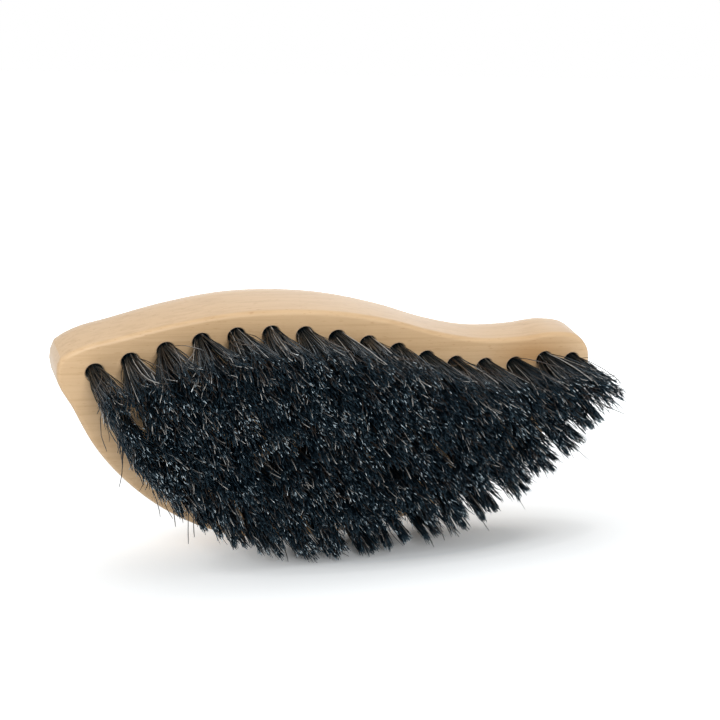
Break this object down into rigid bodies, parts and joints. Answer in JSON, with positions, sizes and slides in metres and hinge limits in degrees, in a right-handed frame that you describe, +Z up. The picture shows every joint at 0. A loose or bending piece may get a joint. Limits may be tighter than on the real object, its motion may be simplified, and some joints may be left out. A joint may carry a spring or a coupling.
{
  "type": "leather brush",
  "caption": "Hand brush for cleaning leather: a comma-shaped beech block with close tufts of black hair wedged in blind holes, resting on its curved edge.",
  "frame": {"origin": "centre of the underside of the bounding box: on the surface that the brush stands on, under the middle of its length and depth", "axes": "+X along the block towards its narrow tail, +Y away from the tufts towards the palm side, +Z up"},
  "size_m": [0.1598, 0.0606, 0.0743],
  "materials": {
    "beech": "smooth sanded beech, barely lacquered, satin",
    "black_horsehair": "black hair, slightly glossy"
  },
  "bodies": {
    "root": {"wooden_block": "beech", "upper_tuft_row_1": "black_horsehair", "lower_tuft_row_1": "black_horsehair", "upper_tuft_row_2": "black_horsehair", "lower_tuft_row_2": "black_horsehair", "upper_tuft_row_3": "black_horsehair", "lower_tuft_row_3": "black_horsehair", "upper_tuft_row_4": "black_horsehair", "lower_tuft_row_4": "black_horsehair"}
  },
  "joints": []
}
